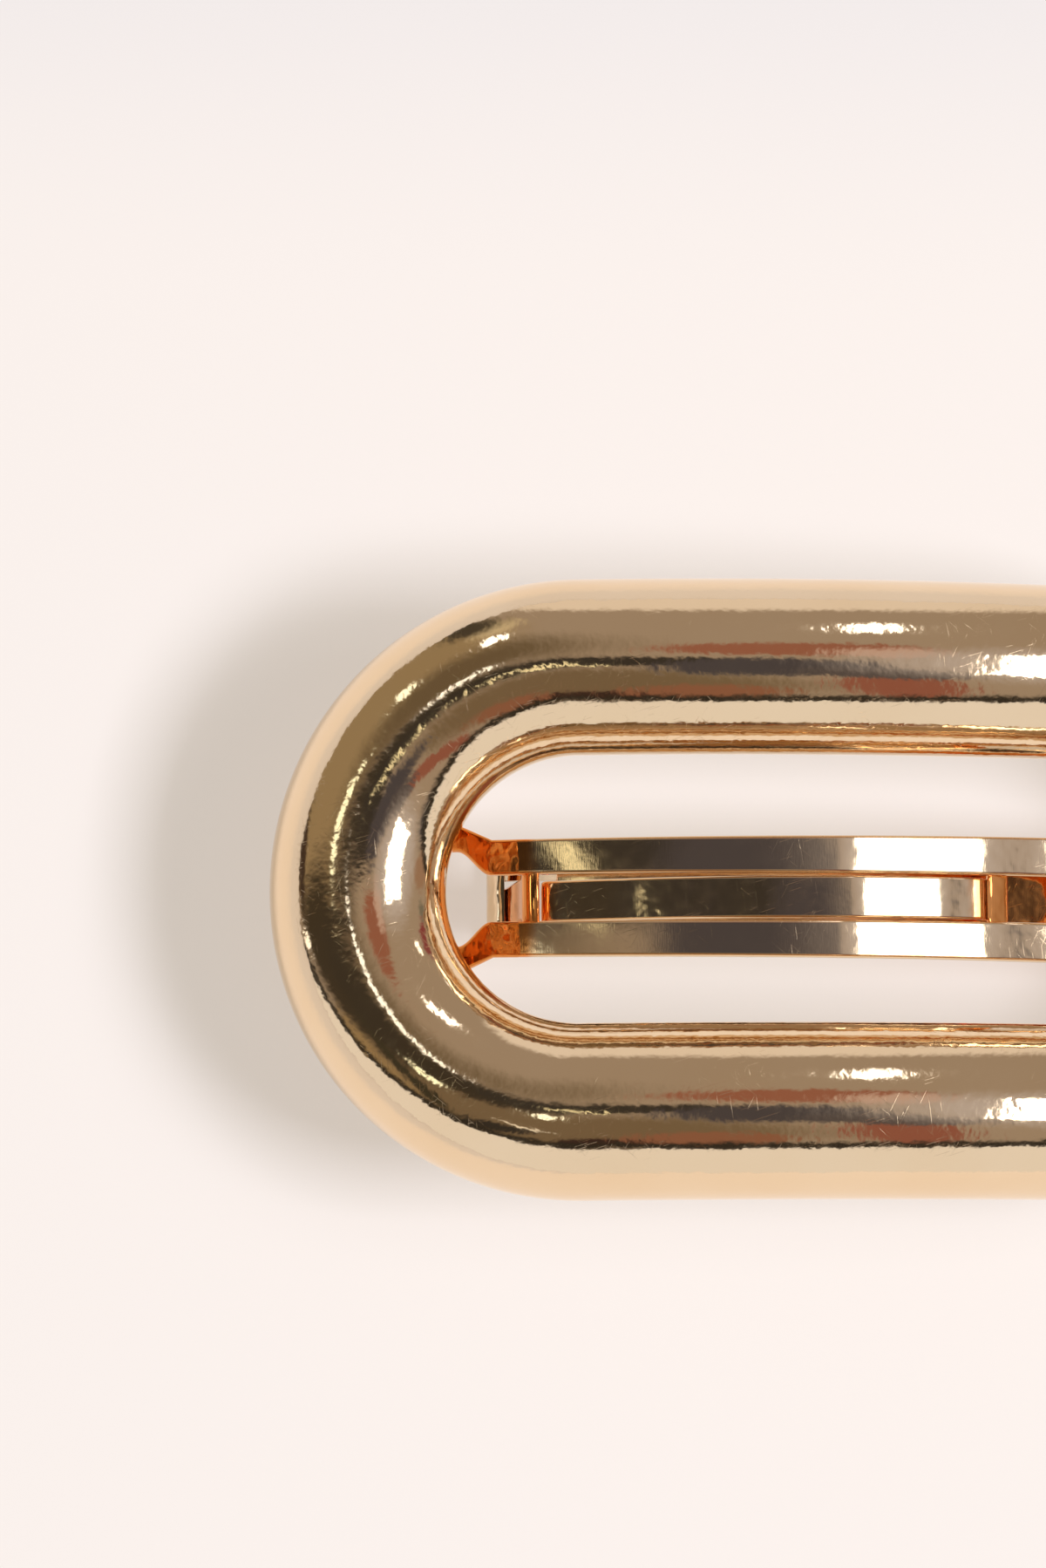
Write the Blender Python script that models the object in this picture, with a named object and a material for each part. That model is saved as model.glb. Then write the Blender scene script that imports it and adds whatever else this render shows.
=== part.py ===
"""Hair clip: a gilt stadium ring on a sprung barrette fitting.

The ring is a round tube bent into a long loop and arched along its length. Its flat back sits on a
slotted base plate, whose left end forks into two feet. A tongue spring stands in the plate's slot.
A closing arm turns on a pin between the plate's ears, and its turned-down tip snaps over the barb of
the catch lip. X runs along the clip, +Z is the show side, and Z = 0 is the surface it stands on.
All lengths are in metres.
"""

import math

import bmesh
import bpy
from mathutils import Vector

# Ring: centre-line sizes are measured along the arch
ARCH_RADIUS = 0.085
TUBE_RADIUS = 0.0054
RING_END_RADIUS = 0.0136
RING_STRAIGHT_HALF = 0.0183
RING_BACK_DEPTH = 0.0048

# Sheet metal of the base plate and the closing arm
PLATE_THICKNESS = 0.0008
BEND_INSIDE = 0.0002
SEAT_GAP = 0.0001
HAIR_GAP = 0.0052

# Base plate
FOOT_OVERHANG = 0.0022
FOOT_INNER = 0.00295
FOOT_OUTER = 0.0065
FOOT_CORNER = 0.0010
FOOT_CORNER_SHARE = 0.4
FORK_LENGTH = 0.01068
FLARE_ANGLE = math.radians(26.0)
FLARE_OFFSET = 0.0019
CHANNEL_STRAIGHT = 0.0020
CHANNEL_SPREAD = 0.0020
RAIL_LEFT_HALF = 0.00364
SLOT_HALF = 0.00145
SLOT_LENGTH = 0.0347
CROSSBAR_WIDTH = 0.0009
END_CORNER = 0.0015
EAR_LEDGE = 0.00005

# Catch lip
LIP_HALF = 0.00135
LIP_ROOT = 0.0003
LIP_STEP = 0.00003
CATCH_CLEARANCE = 0.00012
CATCH_GAP = 0.0001
BARB_BITE = 0.00025
BARB_HEIGHT = 0.00042
BARB_NOSE = 0.00017

# Closing arm
ARM_HALF = 0.00305
ARM_SIDE_CLEARANCE = 0.00012
ARM_TIP_CORNER = 0.0006
TIP_DROP = 0.00035
WINDOW_LENGTH = 0.0032
WINDOW_HALF = 0.0017
CURL_TURN = math.radians(272.0)

# Hinge and its pin
HINGE_INSET = 0.00568
HINGE_RISE = 0.0008
PIN_RADIUS = 0.0006
PIN_CLEARANCE = 0.00006
EAR_RADIUS = 0.00185
HEAD_RADIUS = 0.0011
HEAD_LENGTH = 0.00045

# Tongue spring
SPRING_HALF = 0.0013
SPRING_THICKNESS = 0.0005
SPRING_BEND_INSIDE = 0.00015
SPRING_RADIUS = 0.041
SPRING_CREST_X = 0.0009
SPRING_SINK = 0.00005
SPRING_TIP_GAP = 0.00075
SPRING_TIP_DROP = 0.00055
SPRING_TIP_CORNER = 0.00043
SPRING_STRIP_END = 0.00835
JOGGLE_RUN = 0.0009
SPRING_FOOT_LENGTH = 0.00135
SPRING_WING_HALF = 0.0026
SPRING_WING_RAMP = 0.00022
SPRING_WING_CORNER = 0.00045

# Rivets
RIVET_RADIUS = 0.0006
RIVET_CLEARANCE = 0.00005
RIVET_DEPTH = 0.0031
RIVET_DEPTH_CLEARANCE = 0.0001
RIVET_HEAD_RADIUS = 0.0012
RIVET_HEAD_HEIGHT = 0.0005
LEFT_RIVET_HALF = 0.0048
RIGHT_RIVET_HALF = 0.0023

# Facets
TUBE_SIDES = 32
RING_END_STEPS = 28
RING_STRAIGHT_STEPS = 16
ARCH_STEPS = 32
BEND_STEPS = 6
HOLE_SIDES = 16
PIN_SIDES = 24
OUTLINE_STEPS = 6
EAR_STEPS = 9
EAR_ROOT_STEPS = 4
DOME_STEPS = 4
SHARP_ANGLE = math.radians(35.0)

# A flat blank is cut at its bend lines at this enlargement, where a corner this close to a bend line
# counts as on it
BLANK_SCALE = 1000.0
CUT_REACH = 0.01

# Radii of the nested sheets about the arch's own axis
RING_BACK = ARCH_RADIUS - RING_BACK_DEPTH
BASE_TOP = RING_BACK - SEAT_GAP
BASE_BOTTOM = BASE_TOP - PLATE_THICKNESS
ARM_TOP = BASE_BOTTOM - HAIR_GAP
ARM_BOTTOM = ARM_TOP - PLATE_THICKNESS
BEND_OUTSIDE = BEND_INSIDE + PLATE_THICKNESS

# Places along the clip that follow the ring's length
PLATE_END = BASE_TOP * math.sin((RING_STRAIGHT_HALF + RING_END_RADIUS + FOOT_OVERHANG) / ARCH_RADIUS)
LIP_FACE = FORK_LENGTH - PLATE_END
LIP_BACK = LIP_FACE + PLATE_THICKNESS
SLOT_LEFT = LIP_FACE + CROSSBAR_WIDTH
SLOT_RIGHT = SLOT_LEFT + SLOT_LENGTH
PIN_X = PLATE_END - HINGE_INSET

# Hinge: the curl rolls round the pin, and its eye is the arm's upper face
CURL_EYE = PIN_RADIUS + PIN_CLEARANCE
PIN_ORBIT = ARM_TOP + CURL_EYE + HINGE_RISE
PIN_DROP = math.sqrt(PIN_ORBIT ** 2 - PIN_X ** 2)
EAR_INNER = ARM_HALF + ARM_SIDE_CLEARANCE
EAR_OUTER = EAR_INNER + PLATE_THICKNESS
RAIL_RIGHT_HALF = EAR_OUTER + EAR_LEDGE

# Tip of the arm: the window's end wall clears the lip, and the bend follows from it
TIP_LEAN = math.asin((CATCH_CLEARANCE - LIP_FACE) / ARM_BOTTOM)
TIP_ORBIT = ARM_TOP - BEND_OUTSIDE
TIP_BEND_X = -TIP_ORBIT * math.sin(TIP_LEAN)
TIP_INNER_FACE = TIP_BEND_X - BEND_INSIDE
TIP_EDGE_DROP = TIP_ORBIT * math.cos(TIP_LEAN) - TIP_DROP
LIP_END_DROP = TIP_EDGE_DROP - CATCH_GAP - BARB_HEIGHT

# The arch's axis lies so low that the ears and the catch lip end at Z = 0
AXIS_Z = -min(PIN_DROP - EAR_RADIUS, LIP_END_DROP)
AXIS = (0.0, AXIS_Z)
PIN_CENTRE = (PIN_X, AXIS_Z + PIN_DROP)
TIP_BEND = (TIP_BEND_X, AXIS_Z + TIP_ORBIT * math.cos(TIP_LEAN))
TIP_EDGE_Z = AXIS_Z + TIP_EDGE_DROP

# Tongue spring: its strip arches more than the plate, and its foot lies under the rails
SPRING_BEND = SPRING_BEND_INSIDE + SPRING_THICKNESS
SPRING_AXIS = (SPRING_CREST_X, AXIS_Z + BASE_TOP - SPRING_SINK - SPRING_RADIUS)
SPRING_ORBIT = SPRING_RADIUS - SPRING_BEND
SPRING_TIP = SLOT_LEFT + SPRING_TIP_GAP
FOOT_TOP = BASE_BOTTOM - SEAT_GAP


def spaced(start, end, steps):
    """Evenly spaced values, with both ends."""
    return [start + (end - start) * i / steps for i in range(steps + 1)]


def arc(centre, radius, start, end, steps):
    """Points of an arc, its angles in radians from the first axis towards the second."""
    return [
        (centre[0] + radius * math.cos(angle), centre[1] + radius * math.sin(angle))
        for angle in spaced(start, end, steps)
    ]


def circle(centre, radius, sides):
    """The corners of a closed round outline."""
    return arc(centre, radius, 0.0, 2.0 * math.pi, sides)[:-1]


def height_over(centre, radius, x):
    """The point of a circle's upper half at a given x."""
    return (x, centre[1] + math.sqrt(radius ** 2 - (x - centre[0]) ** 2))


def lean(centre, point):
    """The angle of a point seen from a centre."""
    return math.atan2(point[1] - centre[1], point[0] - centre[0])


def mirrored(points):
    """The same outline on the other side of the centre line, walked backwards."""
    return [(x, -y) for x, y in reversed(points)]


def solid(outline, place, stations=()):
    """A closed body from a flat outline: place(u, v, depth) sets each corner, with depth 0 or 1."""
    mesh = bmesh.new()
    mesh.faces.new([mesh.verts.new((u * BLANK_SCALE, v * BLANK_SCALE, 0.0)) for u, v in outline])
    for station in stations:
        everything = mesh.verts[:] + mesh.edges[:] + mesh.faces[:]
        cut = (station * BLANK_SCALE, 0.0, 0.0)
        bmesh.ops.bisect_plane(mesh, geom=everything, dist=CUT_REACH, plane_co=cut, plane_no=(1.0, 0.0, 0.0))
    raised = bmesh.ops.extrude_face_region(mesh, geom=mesh.faces[:])
    for corner in raised["geom"]:
        if isinstance(corner, bmesh.types.BMVert):
            corner.co.z = 1.0
    for corner in mesh.verts:
        u, v, depth = corner.co
        corner.co = place(u / BLANK_SCALE, v / BLANK_SCALE, depth)
    bmesh.ops.triangulate(mesh, faces=mesh.faces[:])
    bmesh.ops.recalc_face_normals(mesh, faces=mesh.faces[:])
    return mesh


class Route:
    """A bent sheet's upper face seen from the side, as points (x, z) from left to right."""

    def __init__(self, points):
        self.points = points
        self.stations = [0.0]
        for first, second in zip(points, points[1:]):
            self.stations.append(self.stations[-1] + math.dist(first, second))
        headings = [lean(first, second) for first, second in zip(points, points[1:])]
        for i in range(1, len(headings)):
            turn = (headings[i] - headings[i - 1] + math.pi) % (2.0 * math.pi) - math.pi
            headings[i] = headings[i - 1] + turn
        self.rises = []
        for before, after in zip(headings[:1] + headings, headings + headings[-1:]):
            middle = (before + after) / 2.0
            mitre = 1.0 / math.cos((after - before) / 2.0)
            self.rises.append((-math.sin(middle) * mitre, math.cos(middle) * mitre))
        self.length = self.stations[-1]

    def at_x(self, x):
        """Distance along the sheet of the first point that lies over x, or of the end nearest to it."""
        if x <= self.points[0][0]:
            return 0.0
        for i in range(len(self.points) - 1):
            left, right = self.points[i][0], self.points[i + 1][0]
            if left <= x <= right and left < right:
                share = (x - left) / (right - left)
                return self.stations[i] + share * (self.stations[i + 1] - self.stations[i])
        return self.length

    def point(self, distance, depth):
        """Where a spot of the flat sheet lies once the sheet is bent."""
        i = 0
        while i < len(self.stations) - 2 and self.stations[i + 1] < distance:
            i += 1
        share = (distance - self.stations[i]) / (self.stations[i + 1] - self.stations[i])
        x, z = (a + (b - a) * share for a, b in zip(self.points[i], self.points[i + 1]))
        rise_x, rise_z = (a + (b - a) * share for a, b in zip(self.rises[i], self.rises[i + 1]))
        return (x - rise_x * depth, z - rise_z * depth)


def folded(route, outline, thickness):
    """A flat blank, given by distance along the sheet and width, bent to its route."""

    def place(distance, y, depth):
        x, z = route.point(distance, depth * thickness)
        return (x, y, z)

    return solid(outline, place, route.stations[1:-1])


def side_cut(outline, y_from, y_to):
    """A body with a constant side view, given as points (x, z)."""

    def place(x, z, depth):
        return (x, y_from + (y_to - y_from) * depth, z)

    return solid(outline, place)


def turned(profile, centre, axis, across, sides):
    """A body turned about an axis: the profile gives (distance along, radius), zero at both ends."""
    axis = Vector(axis).normalized()
    across = Vector(across).normalized()
    third = axis.cross(across)
    mesh = bmesh.new()
    rows = []
    for along, radius in profile:
        middle = Vector(centre) + axis * along
        if radius == 0.0:
            rows.append([mesh.verts.new(middle)])
            continue
        row = []
        for x, y in circle((0.0, 0.0), radius, sides):
            row.append(mesh.verts.new(middle + across * x + third * y))
        rows.append(row)
    for lower, upper in zip(rows, rows[1:]):
        for i in range(sides):
            j = (i + 1) % sides
            ring = [lower[i % len(lower)], lower[j % len(lower)], upper[j % len(upper)], upper[i % len(upper)]]
            corners = list(dict.fromkeys(ring))
            mesh.faces.new(corners)
    bmesh.ops.recalc_face_normals(mesh, faces=mesh.faces[:])
    return mesh


def material(name, colour, roughness, metallic):
    """A plain finish for one piece."""
    finish = bpy.data.materials.new(name)
    finish.use_nodes = True
    shader = finish.node_tree.nodes["Principled BSDF"]
    shader.inputs["Base Color"].default_value = (*colour, 1.0)
    shader.inputs["Roughness"].default_value = roughness
    shader.inputs["Metallic"].default_value = metallic
    return finish


def add_object(name, mesh, finish, origin=(0.0, 0.0, 0.0)):
    """An object from a finished mesh, with its origin where the piece turns."""
    bmesh.ops.translate(mesh, verts=mesh.verts[:], vec=-Vector(origin))
    data = bpy.data.meshes.new(name)
    mesh.to_mesh(data)
    mesh.free()
    data.shade_smooth()
    data.set_sharp_from_angle(angle=SHARP_ANGLE)
    data.materials.append(finish)
    piece = bpy.data.objects.new(name, data)
    piece.location = origin
    bpy.context.scene.collection.objects.link(piece)
    return piece


def combined(body, added=(), cut=(), solver="EXACT"):
    """The body with some bodies united to it, and then others cut from it."""
    stock = []
    steps = ["UNION"] * len(added) + ["DIFFERENCE"] * len(cut)
    for index, mesh in enumerate([body, *added, *cut]):
        data = bpy.data.meshes.new("stock_%d" % index)
        mesh.to_mesh(data)
        mesh.free()
        shape = bpy.data.objects.new("stock_%d" % index, data)
        bpy.context.scene.collection.objects.link(shape)
        stock.append(shape)
    for tool, operation in zip(stock[1:], steps):
        step = stock[0].modifiers.new(operation, "BOOLEAN")
        step.operation = operation
        step.solver = solver
        step.object = tool
    bpy.context.view_layer.update()
    graph = bpy.context.evaluated_depsgraph_get()
    result = bmesh.new()
    result.from_object(stock[0], graph)
    for shape in stock:
        bpy.data.objects.remove(shape, do_unlink=True)
    return result


def on_arch(along, y, rise):
    """A spot of the ring: along the arched centre line, across, and out from the arch's surface."""
    angle = along / ARCH_RADIUS
    radius = ARCH_RADIUS + rise
    return (radius * math.sin(angle), y, AXIS_Z + radius * math.cos(angle))


def ring_centre_line():
    """The loop's stations: distance along the arch, width, and the outward direction in plan."""
    stations = []
    for side, start in ((1.0, -0.5 * math.pi), (-1.0, 0.5 * math.pi)):
        middle = side * RING_STRAIGHT_HALF
        for angle in spaced(start, start + math.pi, RING_END_STEPS):
            outward = (math.cos(angle), math.sin(angle))
            place = (middle + RING_END_RADIUS * outward[0], RING_END_RADIUS * outward[1])
            stations.append((place, outward))
        outward = (0.0, side)
        for share in spaced(1.0, -1.0, RING_STRAIGHT_STEPS)[1:-1]:
            stations.append(((middle * share, side * RING_END_RADIUS), outward))
    return stations


def tube_section():
    """The tube's section as (out in plan, up), a round with a flat cut along its back."""
    flat = math.asin(RING_BACK_DEPTH / TUBE_RADIUS)
    return arc((0.0, 0.0), TUBE_RADIUS, -flat, math.pi + flat, TUBE_SIDES - 1)


def rivet_places():
    """Each rivet's number, distance along the ring's centre line, and width."""
    places = []
    for side, half in ((-1.0, LEFT_RIVET_HALF), (1.0, RIGHT_RIVET_HALF)):
        reach = RING_STRAIGHT_HALF + math.sqrt(RING_END_RADIUS ** 2 - half ** 2)
        for y in (half, -half):
            places.append((len(places) + 1, side * reach, y))
    return places


def rivet_hole(along, y, up, down):
    """A drill for one rivet, square to the arch, that reaches up and down from the ring's flat back."""
    foot = on_arch(along, y, -RING_BACK_DEPTH)
    axis = Vector(on_arch(along, y, 0.0)) - Vector(foot)
    radius = RIVET_RADIUS + RIVET_CLEARANCE
    profile = [(-down, 0.0), (-down, radius), (up, radius), (up, 0.0)]
    return turned(profile, foot, axis, (0.0, 1.0, 0.0), HOLE_SIDES)


def ring(finish):
    """The arched tube, with its flat back drilled for the rivets."""
    mesh = bmesh.new()
    section = tube_section()
    rows = []
    for (along, y), (out_x, out_y) in ring_centre_line():
        row = []
        for out, up in section:
            row.append(mesh.verts.new(on_arch(along + out * out_x, y + out * out_y, up)))
        rows.append(row)
    for first, second in zip(rows, rows[1:] + rows[:1]):
        for i in range(len(section)):
            j = (i + 1) % len(section)
            mesh.faces.new((first[i], first[j], second[j], second[i]))
    bmesh.ops.recalc_face_normals(mesh, faces=mesh.faces[:])
    depth = RIVET_DEPTH + RIVET_DEPTH_CLEARANCE
    drills = [rivet_hole(along, y, depth, PLATE_THICKNESS) for _, along, y in rivet_places()]
    add_object("ring", combined(mesh, cut=drills), finish)


def plate_outline(route):
    """The base plate's edge: the slot runs on through the fork and is open to the left."""
    flare_start = LIP_FACE - FLARE_OFFSET
    flare_run = (FOOT_OUTER - RAIL_LEFT_HALF) / math.tan(FLARE_ANGLE)
    channel_end = LIP_FACE - CHANNEL_STRAIGHT
    slot_end = (SLOT_RIGHT - SLOT_HALF, 0.0)
    edge = arc(slot_end, SLOT_HALF, 0.0, 0.5 * math.pi, OUTLINE_STEPS)[1:]
    for share in spaced(0.0, 1.0, OUTLINE_STEPS):
        ease = share * share * (3.0 - 2.0 * share)
        edge.append((channel_end - share * CHANNEL_SPREAD, SLOT_HALF + ease * (FOOT_INNER - SLOT_HALF)))
    corner = min(FOOT_CORNER, FOOT_CORNER_SHARE * (FOOT_OUTER - FOOT_INNER))
    inner = (corner - PLATE_END, FOOT_INNER + corner)
    outer = (corner - PLATE_END, FOOT_OUTER - corner)
    edge += arc(inner, corner, 1.5 * math.pi, math.pi, OUTLINE_STEPS)
    edge += arc(outer, corner, math.pi, 0.5 * math.pi, OUTLINE_STEPS)
    edge.append((flare_start - flare_run, FOOT_OUTER))
    edge.append((flare_start, RAIL_LEFT_HALF))
    edge.append((PIN_X, RAIL_RIGHT_HALF))
    end = (PLATE_END - END_CORNER, RAIL_RIGHT_HALF - END_CORNER)
    edge += arc(end, END_CORNER, 0.5 * math.pi, 0.0, OUTLINE_STEPS)
    outline = edge + mirrored(edge)
    return [(route.at_x(x), y) for x, y in outline]


def ear(side):
    """One ear, folded down from the plate's edge; the middle one of its facets is its rest."""
    drop = EAR_RADIUS / math.cos(0.5 * math.pi / EAR_STEPS)
    middle = (PIN_X, EAR_RADIUS)
    bowl = arc(middle, drop, math.pi, 2.0 * math.pi, EAR_STEPS)
    depth = BASE_TOP - PLATE_THICKNESS / 2.0
    root = [height_over(AXIS, depth, x) for x in spaced(PIN_X + drop, PIN_X - drop, EAR_ROOT_STEPS)]
    return side_cut(bowl + root, side * EAR_INNER, side * EAR_OUTER)


def lip_bend():
    """The centre of the catch lip's bend, and the angle at which the bend leaves the plate."""
    orbit = BASE_TOP - BEND_OUTSIDE
    centre = height_over(AXIS, orbit, LIP_FACE + BEND_OUTSIDE)
    return centre, lean(AXIS, centre)


def lip_root():
    """The crossbar that carries the catch lip between the rails, set just inside the plate's faces."""
    centre, leave = lip_bend()
    outside = BEND_OUTSIDE - LIP_STEP
    inside = BEND_INSIDE + LIP_STEP
    below = centre[1] - LIP_ROOT
    shell = [(centre[0] - outside, below)]
    shell += arc(centre, outside, math.pi, leave, BEND_STEPS)
    shell.append(height_over(AXIS, BASE_TOP - LIP_STEP, SLOT_LEFT))
    shell.append(height_over(AXIS, BASE_BOTTOM + LIP_STEP, SLOT_LEFT))
    shell += arc(centre, inside, leave, math.pi, BEND_STEPS)
    shell.append((centre[0] - inside, below))
    reach = SLOT_HALF + LIP_ROOT
    return side_cut(shell, -reach, reach)


def catch_lip():
    """The tongue that hangs from the crossbar, with the barb at its end."""
    centre, _ = lip_bend()
    barb_top = TIP_EDGE_Z - CATCH_GAP
    barb_face = TIP_INNER_FACE - BARB_BITE
    edge = [
        (LIP_FACE, centre[1]),
        (LIP_FACE, barb_top),
        (barb_face, barb_top),
        (barb_face, barb_top - BARB_NOSE),
        (LIP_FACE, 0.0),
        (LIP_BACK, 0.0),
        (LIP_BACK, centre[1]),
    ]
    return side_cut(edge, -LIP_HALF, LIP_HALF)


def base_plate(finish):
    """The slotted and forked plate with its two ears and the catch lip."""
    left = math.acos(-PLATE_END / BASE_TOP)
    route = Route(arc(AXIS, BASE_TOP, left, math.pi - left, ARCH_STEPS))
    sheet = folded(route, plate_outline(route), PLATE_THICKNESS)
    folds = [lip_root(), catch_lip(), ear(1.0), ear(-1.0)]
    reach = 2.0 * PLATE_THICKNESS
    drills = [rivet_hole(along, y, reach, reach) for _, along, y in rivet_places()]
    eye = circle(PIN_CENTRE, PIN_RADIUS + PIN_CLEARANCE, PIN_SIDES)
    drills.append(side_cut(eye, -2.0 * EAR_OUTER, 2.0 * EAR_OUTER))
    # The exact solver loses the bent sheet in this union
    add_object("base_plate", combined(sheet, folds, drills, "MANIFOLD"), finish)


def arm_route():
    """From the tip's lower edge over the bend, along the arch, straight to the pin and round it."""
    points = [(TIP_BEND[0] - BEND_OUTSIDE, TIP_EDGE_Z)]
    points += arc(TIP_BEND, BEND_OUTSIDE, math.pi, 0.5 * math.pi + TIP_LEAN, BEND_STEPS)
    leave = lean(AXIS, PIN_CENTRE) + math.acos((ARM_TOP + CURL_EYE) / PIN_ORBIT)
    points += arc(AXIS, ARM_TOP, 0.5 * math.pi + TIP_LEAN, leave, ARCH_STEPS)[1:]
    below = leave - math.pi
    curl_steps = round(PIN_SIDES * CURL_TURN / (2.0 * math.pi))
    points += arc(PIN_CENTRE, CURL_EYE, below, below + CURL_TURN, curl_steps)
    return Route(points)


def arm_window():
    """The cut behind the arm's tip through which the catch lip passes."""
    left = LIP_FACE - CATCH_CLEARANCE
    right = left + WINDOW_LENGTH
    top = AXIS_Z + BASE_BOTTOM
    edge = [(left, -PLATE_THICKNESS), (right, -PLATE_THICKNESS), (right, top), (left, top)]
    return side_cut(edge, -WINDOW_HALF, WINDOW_HALF)


def closing_arm(finish):
    """The lower bar, with a window behind its tip and a curl round the pin."""
    route = arm_route()
    corner = ARM_TIP_CORNER
    tip = (corner, ARM_HALF - corner)
    edge = arc(tip, corner, math.pi, 0.5 * math.pi, OUTLINE_STEPS)
    edge.append((route.length, ARM_HALF))
    outline = edge + mirrored(edge)
    sheet = folded(route, outline, PLATE_THICKNESS)
    origin = (PIN_CENTRE[0], 0.0, PIN_CENTRE[1])
    add_object("closing_arm", combined(sheet, cut=[arm_window()]), finish, origin)


def spring_joggle():
    """The two bends that take the strip down to its foot, and the slope between them."""
    first = height_over(SPRING_AXIS, SPRING_ORBIT, SPRING_STRIP_END - SPRING_BEND)
    second = height_over(AXIS, FOOT_TOP + SPRING_BEND_INSIDE, first[0] + JOGGLE_RUN)
    slope = lean(first, second) - math.asin((SPRING_BEND + SPRING_BEND_INSIDE) / math.dist(first, second))
    return first, second, slope


def spring_route():
    """From the turned-down tip along the strip, down the joggle and along the foot."""
    tip = height_over(SPRING_AXIS, SPRING_ORBIT, SPRING_TIP + SPRING_BEND)
    first, second, slope = spring_joggle()
    left = lean(SPRING_AXIS, tip)
    right = lean(SPRING_AXIS, first)
    upright = 0.5 * math.pi
    points = [(SPRING_TIP, tip[1] - SPRING_TIP_DROP)]
    points += arc(tip, SPRING_BEND, math.pi, left, BEND_STEPS)
    points += arc(SPRING_AXIS, SPRING_RADIUS, left, right, ARCH_STEPS // 2)[1:]
    points += arc(first, SPRING_BEND, right, slope + upright, BEND_STEPS)[1:]
    foot = lean(AXIS, second)
    points += arc(second, SPRING_BEND_INSIDE, slope - upright, foot - math.pi, BEND_STEPS)
    foot_end = foot - SPRING_FOOT_LENGTH / FOOT_TOP
    points += arc(AXIS, FOOT_TOP, foot, foot_end, OUTLINE_STEPS // 2)[1:]
    return Route(points)


def tension_spring(finish):
    """The tongue that presses on the hair, with its wings under the rails."""
    route = spring_route()
    first, _, _ = spring_joggle()
    corner = SPRING_TIP_CORNER
    wing = SPRING_WING_CORNER
    wing_start = route.length - SPRING_FOOT_LENGTH
    edge = arc((corner, SPRING_HALF - corner), corner, math.pi, 0.5 * math.pi, OUTLINE_STEPS // 2)
    edge.append((wing_start, SPRING_HALF))
    edge.append((wing_start + SPRING_WING_RAMP, SPRING_WING_HALF))
    middle = (route.length - wing, SPRING_WING_HALF - wing)
    edge += arc(middle, wing, 0.5 * math.pi, 0.0, OUTLINE_STEPS // 2)
    sheet = folded(route, edge + mirrored(edge), SPRING_THICKNESS)
    add_object("tension_spring", sheet, finish, (first[0], 0.0, first[1]))


def dome(radius, height):
    """A domed head's profile as (distance along, radius), from its top down to its rim at zero."""
    quarter = arc((0.0, 0.0), 1.0, 0.0, 0.5 * math.pi, DOME_STEPS)
    return [(-height * out, radius * across) for out, across in quarter]


def hinge_pin(finish):
    """The pin through both ears and the arm's curl, with a domed head at both ends."""
    seat = EAR_OUTER + SEAT_GAP
    profile = [(along - seat, radius) for along, radius in dome(HEAD_RADIUS, HEAD_LENGTH)]
    profile.append((-seat, PIN_RADIUS))
    profile += [(-along, radius) for along, radius in reversed(profile)]
    centre = (PIN_CENTRE[0], 0.0, PIN_CENTRE[1])
    add_object("hinge_pin", turned(profile, centre, (0.0, 1.0, 0.0), (1.0, 0.0, 0.0), PIN_SIDES), finish)


def base_rivets(finish):
    """The four rivets that hold the plate to the ring, domed on the underside."""
    for number, along, y in rivet_places():
        seat = RING_BACK_DEPTH + SEAT_GAP + PLATE_THICKNESS + SEAT_GAP
        foot = Vector(on_arch(along, y, -seat))
        axis = Vector(on_arch(along, y, 0.0)) - foot
        length = seat - RING_BACK_DEPTH + RIVET_DEPTH
        profile = dome(RIVET_HEAD_RADIUS, RIVET_HEAD_HEIGHT)
        profile += [(0.0, RIVET_RADIUS), (length, RIVET_RADIUS), (length, 0.0)]
        mesh = turned(profile, foot, axis, (0.0, 1.0, 0.0), HOLE_SIDES)
        add_object("base_rivet_%d" % number, mesh, finish)


def main():
    """Clear the scene and build every piece."""
    for old in list(bpy.data.objects):
        bpy.data.objects.remove(old, do_unlink=True)
    ring(material("gold_ring", (0.86, 0.60, 0.27), 0.12, 0.95))
    base_plate(material("gold_plate", (0.83, 0.55, 0.24), 0.14, 1.0))
    closing_arm(material("gold_arm", (0.80, 0.53, 0.23), 0.16, 1.0))
    tension_spring(material("gold_spring", (0.84, 0.55, 0.23), 0.13, 1.0))
    hinge_pin(material("gold_pin", (0.78, 0.52, 0.24), 0.20, 1.0))
    base_rivets(material("gold_rivet", (0.78, 0.52, 0.24), 0.20, 1.0))


main()
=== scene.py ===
"""Hair clip: the photographed look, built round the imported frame.

The ring and the three stampings are made again with fine meshes and rounded edges, where the frame's
solids are. The pin and the rivets are turned again with domed heads. All lengths are in metres.
"""

from collections import namedtuple
import math

import bmesh
import bpy
from mathutils import Matrix, Vector


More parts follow.
